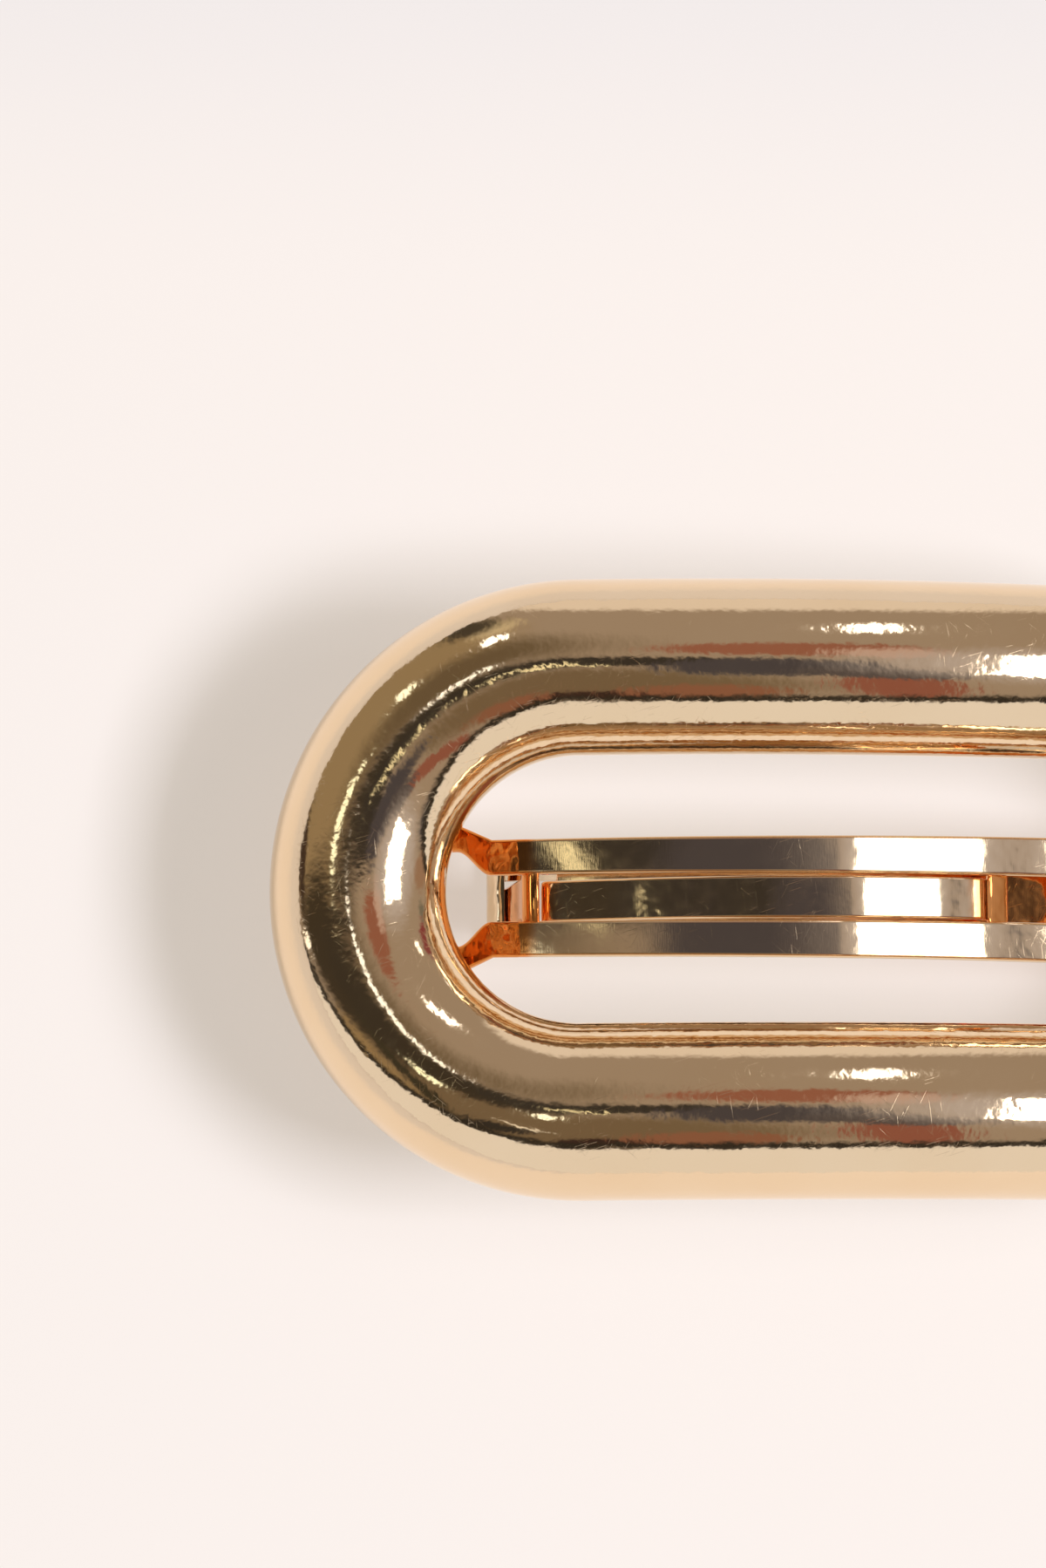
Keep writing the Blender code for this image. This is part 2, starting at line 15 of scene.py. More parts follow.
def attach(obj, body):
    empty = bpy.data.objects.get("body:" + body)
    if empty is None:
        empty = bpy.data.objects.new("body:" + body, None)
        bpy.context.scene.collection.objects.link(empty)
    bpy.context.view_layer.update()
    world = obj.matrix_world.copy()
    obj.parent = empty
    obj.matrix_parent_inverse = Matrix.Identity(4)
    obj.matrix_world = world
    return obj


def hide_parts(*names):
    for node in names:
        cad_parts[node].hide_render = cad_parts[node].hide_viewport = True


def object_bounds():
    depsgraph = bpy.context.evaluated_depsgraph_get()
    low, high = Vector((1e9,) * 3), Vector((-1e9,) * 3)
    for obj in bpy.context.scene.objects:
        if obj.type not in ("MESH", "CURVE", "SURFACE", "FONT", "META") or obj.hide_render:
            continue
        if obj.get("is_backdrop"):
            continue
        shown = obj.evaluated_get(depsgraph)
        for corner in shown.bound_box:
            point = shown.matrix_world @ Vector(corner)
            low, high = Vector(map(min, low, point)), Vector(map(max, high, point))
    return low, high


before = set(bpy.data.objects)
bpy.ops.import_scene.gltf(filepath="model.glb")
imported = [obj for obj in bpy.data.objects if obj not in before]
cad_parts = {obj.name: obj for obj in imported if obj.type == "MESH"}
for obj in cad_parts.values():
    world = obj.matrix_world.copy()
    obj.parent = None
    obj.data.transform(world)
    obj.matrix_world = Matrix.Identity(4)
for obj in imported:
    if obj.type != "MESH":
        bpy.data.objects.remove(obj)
cad_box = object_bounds()

# Sizes repeated from the part's source, in metres
ARCH_RADIUS = 0.085
TUBE_RADIUS = 0.0054
RING_END_RADIUS = 0.0136
RING_STRAIGHT_HALF = 0.0183
RING_BACK_DEPTH = 0.0048
PLATE_THICKNESS = 0.0008
BEND_INSIDE = 0.0002
SEAT_GAP = 0.0001
HAIR_GAP = 0.0052
FOOT_OVERHANG = 0.0022
FOOT_INNER = 0.00295
FOOT_OUTER = 0.0065
FOOT_CORNER = 0.0010
FORK_LENGTH = 0.01068
FLARE_ANGLE = math.radians(26.0)
FLARE_OFFSET = 0.0019
CHANNEL_STRAIGHT = 0.0020
CHANNEL_SPREAD = 0.0020
RAIL_LEFT_HALF = 0.00364
SLOT_HALF = 0.00145
SLOT_LENGTH = 0.0347
CROSSBAR_WIDTH = 0.0009
END_CORNER = 0.0015
EAR_LEDGE = 0.00005
LIP_HALF = 0.00135
CATCH_CLEARANCE = 0.00012
CATCH_GAP = 0.0001
BARB_BITE = 0.00025
BARB_HEIGHT = 0.00042
BARB_NOSE = 0.00017
ARM_HALF = 0.00305
ARM_SIDE_CLEARANCE = 0.00012
ARM_TIP_CORNER = 0.0006
TIP_DROP = 0.00035
WINDOW_LENGTH = 0.0032
WINDOW_HALF = 0.0017
CURL_TURN = math.radians(272.0)
HINGE_INSET = 0.00568
HINGE_RISE = 0.0008
PIN_RADIUS = 0.0006
PIN_CLEARANCE = 0.00006
EAR_RADIUS = 0.00185
HEAD_RADIUS = 0.0011
HEAD_LENGTH = 0.00045
SPRING_HALF = 0.0013
SPRING_THICKNESS = 0.0005
SPRING_BEND_INSIDE = 0.00015
SPRING_RADIUS = 0.041
SPRING_CREST_X = 0.0009
SPRING_SINK = 0.00005
SPRING_TIP_GAP = 0.00075
SPRING_TIP_DROP = 0.00055
SPRING_TIP_CORNER = 0.00043
SPRING_STRIP_END = 0.00835
JOGGLE_RUN = 0.0009
SPRING_FOOT_LENGTH = 0.00135
SPRING_WING_HALF = 0.0026
SPRING_WING_RAMP = 0.00022
SPRING_WING_CORNER = 0.00045
RIVET_RADIUS = 0.0006
RIVET_DEPTH = 0.0031
RIVET_HEAD_RADIUS = 0.0012
RIVET_HEAD_HEIGHT = 0.0005
LEFT_RIVET_HALF = 0.0048
RIGHT_RIVET_HALF = 0.0023

# Places that follow from them, worked out as in the part's source
RING_BACK = ARCH_RADIUS - RING_BACK_DEPTH
BASE_TOP = RING_BACK - SEAT_GAP
BASE_BOTTOM = BASE_TOP - PLATE_THICKNESS
ARM_TOP = BASE_BOTTOM - HAIR_GAP
ARM_BOTTOM = ARM_TOP - PLATE_THICKNESS
BEND_OUTSIDE = BEND_INSIDE + PLATE_THICKNESS
PLATE_END = BASE_TOP * math.sin((RING_STRAIGHT_HALF + RING_END_RADIUS + FOOT_OVERHANG) / ARCH_RADIUS)
LIP_FACE = FORK_LENGTH - PLATE_END
SLOT_LEFT = LIP_FACE + CROSSBAR_WIDTH
SLOT_RIGHT = SLOT_LEFT + SLOT_LENGTH
PIN_X = PLATE_END - HINGE_INSET
CURL_EYE = PIN_RADIUS + PIN_CLEARANCE
PIN_ORBIT = ARM_TOP + CURL_EYE + HINGE_RISE
PIN_DROP = math.sqrt(PIN_ORBIT ** 2 - PIN_X ** 2)
EAR_INNER = ARM_HALF + ARM_SIDE_CLEARANCE
EAR_OUTER = EAR_INNER + PLATE_THICKNESS
RAIL_RIGHT_HALF = EAR_OUTER + EAR_LEDGE
TIP_LEAN = math.asin((CATCH_CLEARANCE - LIP_FACE) / ARM_BOTTOM)
TIP_ORBIT = ARM_TOP - BEND_OUTSIDE
TIP_BEND_X = -TIP_ORBIT * math.sin(TIP_LEAN)
TIP_INNER_FACE = TIP_BEND_X - BEND_INSIDE
TIP_EDGE_DROP = TIP_ORBIT * math.cos(TIP_LEAN) - TIP_DROP
AXIS_Z = -min(PIN_DROP - EAR_RADIUS, TIP_EDGE_DROP - CATCH_GAP - BARB_HEIGHT)
AXIS = (0.0, AXIS_Z)
PIN_CENTRE = (PIN_X, AXIS_Z + PIN_DROP)
TIP_BEND = (TIP_BEND_X, AXIS_Z + TIP_ORBIT * math.cos(TIP_LEAN))
TIP_EDGE_Z = AXIS_Z + TIP_EDGE_DROP
SPRING_BEND = SPRING_BEND_INSIDE + SPRING_THICKNESS
SPRING_AXIS = (SPRING_CREST_X, AXIS_Z + BASE_TOP - SPRING_SINK - SPRING_RADIUS)
SPRING_ORBIT = SPRING_RADIUS - SPRING_BEND
SPRING_TIP = SLOT_LEFT + SPRING_TIP_GAP
FOOT_TOP = BASE_BOTTOM - SEAT_GAP

# Fine meshes: steps round the tube, along the ring, along an arch, round a bend, and over a rim
TUBE_STEPS = 96
RING_END_STEPS = 128
RING_STRAIGHT_STEPS = 96
ARCH_STEPS = 160
BEND_STEPS = 12
CORNER_STEPS = 12
RIM_STEPS = 4
EAR_STEPS = 9
TURNED_SIDES = 64
MITRE_LEAST = 0.5
BACK_EDGE = 0.0003

# Tumbled edges of the stampings
PLATE_RIM = 0.00022
SPRING_RIM = 0.00016
ARM_RIM = 0.0002
BARB_RIM = 0.00006
FLAT_WEIGHT = 80

# Blanks are cut along their bend lines at this enlargement
BLANK_SCALE = 1000.0
CUT_REACH = 0.002

# The photograph, and the camera that took it
PHOTO_WIDTH = 1200
PHOTO_HEIGHT = 1799
PIXEL = 0.00005282
MIDDLE_COLUMN = 1015
MIDDLE_ROW = 1015.7
CAMERA_DISTANCE = 0.362
CAMERA_TILT = math.radians(7.0)
CAMERA_PAN = math.radians(10.0)
CAMERA_ROLL = math.radians(-0.5)
SENSOR = 36.0
CLIP_START = 0.01

# The plating: its gold, what wear leaves of that, and painted shade: the deep orange that gold shows in shade
# where it mirrors gold, on the strips' bent ends
GOLD = (0.89, 0.70, 0.48)
WORN_SHARE = (0.96, 0.92, 0.86)
PAINTED_SHADE_ORANGE = (0.86, 0.36, 0.11, 1.0)

# Its bumps: noises per metre, the depth of the finer two as shares of the peel, and the grain's roughness
CLOUD_SCALE = 160.0
GRAIN_SCALE = 1100.0
GRAIN_SHARE = 0.48
GRAIN_FROM = 0.3
GRAIN_TO = 0.75
GRAIN_ROUGHER = 1.7
FINE_SCALE = 3600.0
FINE_SHARE = 0.12

# Scratches: each way they run with the noise from which they show, and the size of the streaks in metres
SCRATCH_WAYS = ((0.3, 0.70), (1.1, 0.71), (-0.7, 0.72), (1.7, 0.72))
SCRATCH_STREAK = (0.0026, 0.00006, 0.0008)
SCRATCH_EDGE = 0.05
SCRATCH_ROUGHNESS = 0.07
SCUFFED_FROM = 0.42
SCUFFED_TO = 0.62

# Brushing across the stampings: the size of its streaks, and its depth
BRUSH_STREAK = (0.00007, 0.0007, 0.0007)
BRUSH_DEPTH = 0.000001

# Painted shade reaches further in by this much on the middle strip, and its edge wavers
PAINTED_SHADE_MIDDLE = 0.0009
PAINTED_SHADE_WAVER = 0.0008
PAINTED_SHADE_WAVER_SCALE = 900.0
MIDDLE_OUTSIDE = SLOT_HALF + 0.0002
MIDDLE_INSIDE = SLOT_HALF - 0.0001

# How the stampings' faces differ from plain arcs: a lean across, slopes between places along X, the places
# from which painted shade turns the plating deep orange towards the left and right ends, and how far that
# takes to come on
Face = namedtuple("Face", "lean_back lean_front slopes copper_left copper_right fade")
# A place beyond the end, so that no painted shade comes on there
NO_PAINTED_SHADE = 0.1
PLATE_FACE = Face(
    lean_back=0.085,
    lean_front=0.118,
    slopes=((-0.0012, 0.0079, -0.12), (0.0079, 0.0139, 0.09)),
    copper_left=0.0200,
    copper_right=0.0200,
    fade=0.0010,
)
SPRING_FACE = Face(
    lean_back=0.055,
    lean_front=0.055,
    slopes=(
        (-0.0200, -0.0165, -0.153),
        (-0.0165, -0.0070, -0.080),
        (-0.0003, 0.0053, -0.12),
        (0.0053, 0.0081, 0.11),
        (0.0081, 0.0110, -0.20),
    ),
    copper_left=0.0191,
    copper_right=0.0081,
    fade=0.0010,
)
ARM_FACE = Face(
    lean_back=0.09,
    lean_front=0.09,
    slopes=((0.002, 0.026, 0.16),),
    copper_left=NO_PAINTED_SHADE,
    copper_right=-0.0020,
    fade=0.0120,
)

# The feet lean down from this far out, and the creases waver
FOOT_LEAN = 0.45
FOOT_FROM = 0.0207
CREASE_WAVER = 0.0004
CREASE_WAVER_SCALE = 520.0

# The room that the gilding mirrors, in degrees from straight up: towards +X, and towards +Y
CEILING = (0.37, 0.31, 0.26, 1.0)
TABLE = (0.87, 0.86, 0.87, 1.0)
BACKDROP = (0.93, 0.88, 0.86, 1.0)
FILL = (0.26, 0.235, 0.215, 1.0)
CLUTTER = (0.035, 0.03, 0.024, 1.0)

# The table lies beyond its edge, a parabola with its top at the middle, and dark clutter stands along it
TABLE_EDGE = -54.0
TABLE_EDGE_BEND = 0.0056
TABLE_EDGE_MIDDLE = -4.0
TABLE_EDGE_FROM = 1.2
TABLE_EDGE_TO = -0.6
CLUTTER_FROM = 11.0
CLUTTER_TO = 5.0
CLUTTER_SCALE = 22.0
CLUTTER_GAPS = (0.22, 0.42)

# Plain patches of the room, each laid over those before it
Patch = namedtuple("Patch", "colour across along half_across half_along turn soft")
ROOM_PATCHES = (
    # walls, and what stands before them
    Patch((0.32, 0.25, 0.155), -64.0, 46.0, 40.0, 52.0, 0.0, 0.18),
    Patch((0.15, 0.115, 0.072), -30.0, 22.0, 17.0, 18.0, 0.0, 0.6),
    Patch((0.66, 0.58, 0.41), -30.0, 63.0, 6.0, 9.0, 0.0, 0.6),
    Patch((0.82, 0.76, 0.72), 10.0, 97.0, 36.0, 27.0, 0.0, 0.14),
    Patch((0.07, 0.06, 0.045), -38.0, 76.0, 8.0, 15.0, 25.0, 0.5),
    Patch((0.06, 0.04, 0.03), -85.0, 15.0, 5.0, 15.0, 5.0, 0.5),
    Patch((0.33, 0.22, 0.16), 78.0, -2.0, 12.0, 13.0, 0.0, 0.3),
    Patch((0.20, 0.19, 0.16), 76.0, 24.0, 5.0, 7.0, 0.0, 0.5),
    Patch((0.25, 0.065, 0.07), 66.0, 38.0, 7.0, 11.0, 50.0, 0.3),
    # the dim half of the room
    Patch((0.19, 0.145, 0.095), -32.0, -28.0, 40.0, 24.0, -12.0, 0.2),
    Patch((0.31, 0.23, 0.13), -62.0, -27.0, 13.0, 8.0, -35.0, 0.35),
    Patch((0.055, 0.045, 0.032), -60.0, -3.0, 26.0, 13.0, -8.0, 0.35),
    Patch((0.05, 0.042, 0.032), -34.0, -2.0, 26.0, 9.0, 4.0, 0.35),
    Patch((0.045, 0.04, 0.035), -11.0, -1.0, 14.0, 5.5, 0.0, 0.35),
    Patch((0.05, 0.045, 0.03), -47.0, -23.0, 4.0, 14.0, 15.0, 0.4),
    Patch((0.04, 0.035, 0.03), -32.0, -37.0, 12.0, 4.0, 25.0, 0.4),
    Patch((0.05, 0.03, 0.025), -11.0, -45.0, 8.0, 5.5, 0.0, 0.4),
    Patch((0.085, 0.083, 0.095), 60.0, -27.0, 22.0, 7.0, 30.0, 0.5),
    # warm and dark patches straight above
    Patch((0.31, 0.135, 0.095), 5.0, 15.0, 12.0, 8.0, 0.0, 0.25),
    Patch((0.56, 0.41, 0.37), 13.0, 11.0, 5.0, 6.0, 0.0, 0.4),
    Patch((0.29, 0.115, 0.085), 15.0, -31.0, 5.5, 16.0, 8.0, 0.25),
    Patch((0.27, 0.13, 0.085), -1.0, -40.0, 7.0, 9.0, 15.0, 0.3),
    Patch((0.075, 0.07, 0.085), 3.0, -8.0, 10.0, 11.0, 0.0, 0.25),
    Patch((0.10, 0.09, 0.10), 13.0, -15.0, 9.0, 6.0, -35.0, 0.3),
    # the window's glow, and the small lights
    Patch((0.52, 0.50, 0.54), 38.0, -1.0, 25.0, 21.0, 0.0, 0.4),
    Patch((3.4, 3.5, 3.7), 13.0, 43.5, 2.5, 6.8, -10.0, 0.3),
    Patch((3.0, 3.1, 3.2), -29.0, 46.0, 2.3, 5.6, 0.0, 0.3),
    Patch((1.7, 1.8, 1.6), -46.0, 34.0, 1.8, 5.6, 30.0, 0.3),
    Patch((1.6, 1.7, 1.4), -42.5, 10.5, 3.6, 3.0, 0.0, 0.3),
    Patch((1.7, 1.8, 1.9), -24.5, 10.0, 2.2, 3.0, 0.0, 0.4),
    Patch((1.6, 1.7, 1.4), -37.5, -11.0, 3.2, 2.6, 20.0, 0.3),
    Patch((1.8, 1.9, 1.7), -19.0, -12.5, 1.6, 3.3, 0.0, 0.3),
    Patch((1.2, 1.15, 0.8), -15.0, -4.0, 0.9, 4.0, 40.0, 0.4),
    Patch((1.0, 0.95, 0.85), -24.0, -30.0, 1.3, 5.0, 60.0, 0.4),
    Patch((1.8, 1.8, 1.8), -84.0, -4.0, 4.0, 2.0, 0.0, 0.3),
    Patch((2.2, 2.2, 2.2), 49.0, 36.0, 3.0, 3.0, 0.0, 0.3),
    Patch((1.2, 1.2, 1.2), 50.0, 62.0, 2.5, 5.5, 35.0, 0.4),
)

# The floor: lit paper that also glows for the camera and for reflections, with painted shade that makes it
# darker behind and to the left
FLOOR_HALF = 1.5
PAPER = (0.93, 0.87, 0.85, 1.0)
PAPER_PAINTED_SHADE = (0.79, 0.77, 0.80, 1.0)
GLOW = (0.938, 0.852, 0.760, 1.0)
GLOW_PAINTED_SHADE = (0.80, 0.76, 0.735, 1.0)
GLOW_SHARE = 0.55
DIM_BACK = (0.038, 0.082)
DIM_LEFT = (0.052, 0.100)

# Both lamps stand this far from the clip
LAMP_DISTANCE = 2.5


def spaced(start, end, steps):
    """Evenly spaced values, with both ends."""
    return [start + (end - start) * i / steps for i in range(steps + 1)]


def arc(centre, radius, start, end, steps):
    """Points of an arc, its angles in radians from the first axis towards the second."""
    return [
        (centre[0] + radius * math.cos(angle), centre[1] + radius * math.sin(angle))
        for angle in spaced(start, end, steps)
    ]


def height_over(centre, radius, x):
    """The point of a circle's upper half at a given x."""
    return (x, centre[1] + math.sqrt(radius ** 2 - (x - centre[0]) ** 2))


def lean(centre, point):
    """The angle of a point seen from a centre."""
    return math.atan2(point[1] - centre[1], point[0] - centre[0])


def mirrored(points):
    """The same outline on the other side of the centre line, walked backwards."""
    return [(x, -y) for x, y in reversed(points)]


def on_arch(along, y, rise):
    """A spot of the ring: along the arched centre line, across, and out from the arch's surface."""
    angle = along / ARCH_RADIUS
    radius = ARCH_RADIUS + rise
    return (radius * math.sin(angle), y, AXIS_Z + radius * math.cos(angle))


def piece(name, mesh, finish, body, node):
    """A smooth object from a finished mesh, riding on its body in place of its node."""
    bmesh.ops.recalc_face_normals(mesh, faces=mesh.faces[:])
    data = bpy.data.meshes.new(name)
    mesh.to_mesh(data)
    mesh.free()
    data.shade_smooth()
    data.materials.append(finish)
    made = bpy.data.objects.new(name, data)
    bpy.context.scene.collection.objects.link(made)
    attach(made, body)
    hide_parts(node)
    return made


def weighted(made):
    """Keeps broad faces flat to the eye and leaves the turn to their rims."""
    step = made.modifiers.new("flat faces", "WEIGHTED_NORMAL")
    step.mode = "FACE_AREA"
    step.weight = FLAT_WEIGHT
    step.keep_sharp = False


def bridge(mesh, rows, closed=False):
    """Quads between rows of corners, and from the last row to the first if closed."""
    following = rows[1:] + rows[:1] if closed else rows[1:]
    for first, second in zip(rows, following):
        for i in range(len(first)):
            j = (i + 1) % len(first)
            mesh.faces.new((first[i], first[j], second[j], second[i]))


def outward_normals(outline):
    """For each corner of a closed outline, the mitred direction out of it."""
    area = 0.0
    for (x1, y1), (x2, y2) in zip(outline, outline[1:] + outline[:1]):
        area += x1 * y2 - x2 * y1
    turn = 1.0 if area > 0.0 else -1.0
    normals = []
    for before, here, after in zip(outline[-1:] + outline[:-1], outline, outline[1:] + outline[:1]):
        first = Vector((here[1] - before[1], before[0] - here[0])).normalized() * turn
        second = Vector((after[1] - here[1], here[0] - after[0])).normalized() * turn
        middle = (first + second).normalized()
        normals.append(middle / max(middle.dot(first), MITRE_LEAST))
    return normals


def rimmed(outline, thickness, rim, place, stations=()):
    """A blank with rounded rims: place(u, v, depth) sets each corner, with depth from 0 to the thickness."""
    normals = outward_normals(outline)
    profile = []
    for angle in spaced(0.0, 0.5 * math.pi, RIM_STEPS):
        profile.append((rim * (1.0 - math.sin(angle)), rim * (1.0 - math.cos(angle))))
    profile += [(inset, thickness - depth) for inset, depth in reversed(profile)]
    mesh = bmesh.new()
    rows = []
    for inset, depth in profile:
        row = []
        for (u, v), normal in zip(outline, normals):
            corner = Vector((u - normal[0] * inset, v - normal[1] * inset, depth))
            row.append(mesh.verts.new(corner * BLANK_SCALE))
        rows.append(row)
    bridge(mesh, rows)
    mesh.faces.new(rows[0])
    mesh.faces.new(rows[-1])
    for station in stations:
        everything = mesh.verts[:] + mesh.edges[:] + mesh.faces[:]
        cut = (station * BLANK_SCALE, 0.0, 0.0)
        bmesh.ops.bisect_plane(mesh, geom=everything, dist=CUT_REACH, plane_co=cut, plane_no=(1.0, 0.0, 0.0))
    for corner in mesh.verts:
        u, v, depth = corner.co / BLANK_SCALE
        corner.co = place(u, v, depth)
    return mesh


class Route:
    """A bent sheet's upper face seen from the side, as points (x, z) from left to right."""

    def __init__(self, points):
        self.points = points
        self.stations = [0.0]
        for first, second in zip(points, points[1:]):
            self.stations.append(self.stations[-1] + math.dist(first, second))
        headings = [lean(first, second) for first, second in zip(points, points[1:])]
        for i in range(1, len(headings)):
            turn = (headings[i] - headings[i - 1] + math.pi) % (2.0 * math.pi) - math.pi
            headings[i] = headings[i - 1] + turn
        self.rises = []
        for before, after in zip(headings[:1] + headings, headings + headings[-1:]):
            middle = (before + after) / 2.0
            mitre = 1.0 / math.cos((after - before) / 2.0)
            self.rises.append((-math.sin(middle) * mitre, math.cos(middle) * mitre))
        self.length = self.stations[-1]

    def at_x(self, x):
        """Distance along the sheet of the first point that lies over x, or of the end nearest to it."""
        if x <= self.points[0][0]:
            return 0.0
        for i in range(len(self.points) - 1):
            left, right = self.points[i][0], self.points[i + 1][0]
            if left <= x <= right and left < right:
                share = (x - left) / (right - left)
                return self.stations[i] + share * (self.stations[i + 1] - self.stations[i])
        return self.length

    def point(self, distance, depth):
        """Where a spot of the flat sheet lies once the sheet is bent."""
        i = 0
        while i < len(self.stations) - 2 and self.stations[i + 1] < distance:
            i += 1
        share = (distance - self.stations[i]) / (self.stations[i + 1] - self.stations[i])
        x, z = (a + (b - a) * share for a, b in zip(self.points[i], self.points[i + 1]))
        rise_x, rise_z = (a + (b - a) * share for a, b in zip(self.rises[i], self.rises[i + 1]))
        return (x - rise_x * depth, z - rise_z * depth)


def bent(route, outline, thickness, rim):
    """A flat blank, given by distance along the sheet and width, bent to its route."""

    def place(distance, y, depth):
        x, z = route.point(distance, depth)
        return (x, y, z)

    return rimmed(outline, thickness, rim, place, route.stations[1:-1])


def side_plate(outline, y_from, thickness, rim):
    """A body with a constant side view, given as points (x, z), and rounded rims."""

    def place(x, z, depth):
        return (x, y_from + depth, z)

    return rimmed(outline, abs(thickness), rim, place)


def merged(*meshes):
    """Several closed meshes as one."""
    whole = bmesh.new()
    for mesh in meshes:
        data = bpy.data.meshes.new("stock")
        mesh.to_mesh(data)
        mesh.free()
        whole.from_mesh(data)
        bpy.data.meshes.remove(data)
    return whole


def turned(profile, centre, axis, across):
    """A body turned about an axis: the profile gives (distance along, radius), zero at both ends."""
    axis = Vector(axis).normalized()
    across = Vector(across).normalized()
    third = axis.cross(across)
    mesh = bmesh.new()
    rows = []
    for along, radius in profile:
        middle = Vector(centre) + axis * along
        if radius == 0.0:
            rows.append([mesh.verts.new(middle)] * TURNED_SIDES)
            continue
        turn = arc((0.0, 0.0), radius, 0.0, 2.0 * math.pi, TURNED_SIDES)[:-1]
        rows.append([mesh.verts.new(middle + across * x + third * y) for x, y in turn])
    for lower, upper in zip(rows, rows[1:]):
        for i in range(TURNED_SIDES):
            j = (i + 1) % TURNED_SIDES
            mesh.faces.new(list(dict.fromkeys((lower[i], lower[j], upper[j], upper[i]))))
    return mesh


def ring(finish):
    """The arched tube, round but for its flat back."""
    flat = math.asin(RING_BACK_DEPTH / TUBE_RADIUS)
    ease = BACK_EDGE / TUBE_RADIUS
    section = arc((0.0, 0.0), TUBE_RADIUS, ease - flat, math.pi + flat - ease, TUBE_STEPS)
    back_half = math.sqrt(TUBE_RADIUS ** 2 - RING_BACK_DEPTH ** 2)
    back = back_half - BACK_EDGE
    section += [(-back, -RING_BACK_DEPTH), (0.0, -RING_BACK_DEPTH), (back, -RING_BACK_DEPTH)]
    mesh = bmesh.new()
    rows = []
    for side, start in ((1.0, -0.5 * math.pi), (-1.0, 0.5 * math.pi)):
        middle = side * RING_STRAIGHT_HALF
        stations = []
        for angle in spaced(start, start + math.pi, RING_END_STEPS):
            outward = (math.cos(angle), math.sin(angle))
            stations.append((middle + RING_END_RADIUS * outward[0], RING_END_RADIUS * outward[1], outward))
        for share in spaced(1.0, -1.0, RING_STRAIGHT_STEPS)[1:-1]:
            stations.append((middle * share, side * RING_END_RADIUS, (0.0, side)))
        for along, y, (out_x, out_y) in stations:
            row = []
            for out, up in section:
                row.append(mesh.verts.new(on_arch(along + out * out_x, y + out * out_y, up)))
            rows.append(row)
    bridge(mesh, rows, closed=True)
    piece("ring_tube", mesh, finish, "base", "ring")


def plate_outline(route):
    """The base plate's edge: the slot runs on through the fork and is open to the left."""
    flare_start = LIP_FACE - FLARE_OFFSET
    flare_run = (FOOT_OUTER - RAIL_LEFT_HALF) / math.tan(FLARE_ANGLE)
    channel_end = LIP_FACE - CHANNEL_STRAIGHT
    slot_end = (SLOT_RIGHT - SLOT_HALF, 0.0)
    edge = arc(slot_end, SLOT_HALF, 0.0, 0.5 * math.pi, CORNER_STEPS)[1:]
    for share in spaced(0.0, 1.0, CORNER_STEPS):
        ease = share * share * (3.0 - 2.0 * share)
        edge.append((channel_end - share * CHANNEL_SPREAD, SLOT_HALF + ease * (FOOT_INNER - SLOT_HALF)))
    inner = (FOOT_CORNER - PLATE_END, FOOT_INNER + FOOT_CORNER)
    outer = (FOOT_CORNER - PLATE_END, FOOT_OUTER - FOOT_CORNER)
    edge += arc(inner, FOOT_CORNER, 1.5 * math.pi, math.pi, CORNER_STEPS)
    edge += arc(outer, FOOT_CORNER, math.pi, 0.5 * math.pi, CORNER_STEPS)
    edge.append((flare_start - flare_run, FOOT_OUTER))
    edge.append((flare_start, RAIL_LEFT_HALF))
    edge.append((PIN_X, RAIL_RIGHT_HALF))
    end = (PLATE_END - END_CORNER, RAIL_RIGHT_HALF - END_CORNER)
    edge += arc(end, END_CORNER, 0.5 * math.pi, 0.0, CORNER_STEPS)
    outline = edge + mirrored(edge)
    return [(route.at_x(x), y) for x, y in outline]


def catch_lip():
    """The crossbar between the rails, bent down into the lip that carries the barb."""
    orbit = BASE_TOP - BEND_OUTSIDE
    centre = height_over(AXIS, orbit, LIP_FACE + BEND_OUTSIDE)
    leave = lean(AXIS, centre)
    top = arc(centre, BEND_OUTSIDE, math.pi, leave, BEND_STEPS)
    end = height_over(AXIS, BASE_TOP, SLOT_LEFT)
    route = Route([(LIP_FACE, 0.0)] + top + [end])
    bend_start = centre[1]
    half = SLOT_HALF + PLATE_RIM
    edge = [(0.0, LIP_HALF), (bend_start - PLATE_RIM, LIP_HALF), (bend_start, half), (route.length, half)]
    strip = bent(route, edge + mirrored(edge), PLATE_THICKNESS, PLATE_RIM)
    barb_top = TIP_EDGE_Z - CATCH_GAP
    barb_face = TIP_INNER_FACE - BARB_BITE
    barb = [
        (LIP_FACE + PLATE_RIM, 0.0),
        (LIP_FACE, 0.0),
        (barb_face, barb_top - BARB_NOSE),
        (barb_face, barb_top),
        (LIP_FACE + PLATE_RIM, barb_top),
    ]
    wedge = side_plate(barb, -LIP_HALF, 2.0 * LIP_HALF, BARB_RIM)
    return strip, wedge


def ear(side):
    """One ear, folded down from the plate's edge, with its flat rest."""
    drop = EAR_RADIUS / math.cos(0.5 * math.pi / EAR_STEPS)
    middle = (PIN_X, EAR_RADIUS)
    bowl = arc(middle, drop, math.pi, 2.0 * math.pi, EAR_STEPS)
    depth = BASE_TOP - PLATE_THICKNESS / 2.0
    root = [height_over(AXIS, depth, x) for x in spaced(PIN_X + drop, PIN_X - drop, EAR_STEPS)]
    start = EAR_INNER if side > 0.0 else -EAR_OUTER
    return side_plate(bowl + root, start, PLATE_THICKNESS, PLATE_RIM)


def base_plate(finish):
    """The slotted and forked plate with its two ears and the catch lip."""
    left = math.acos(-PLATE_END / BASE_TOP)
    route = Route(arc(AXIS, BASE_TOP, left, math.pi - left, ARCH_STEPS))
    sheet = bent(route, plate_outline(route), PLATE_THICKNESS, PLATE_RIM)
    whole = merged(sheet, *catch_lip(), ear(1.0), ear(-1.0))
    weighted(piece("plate_stamping", whole, finish, "base", "base_plate"))


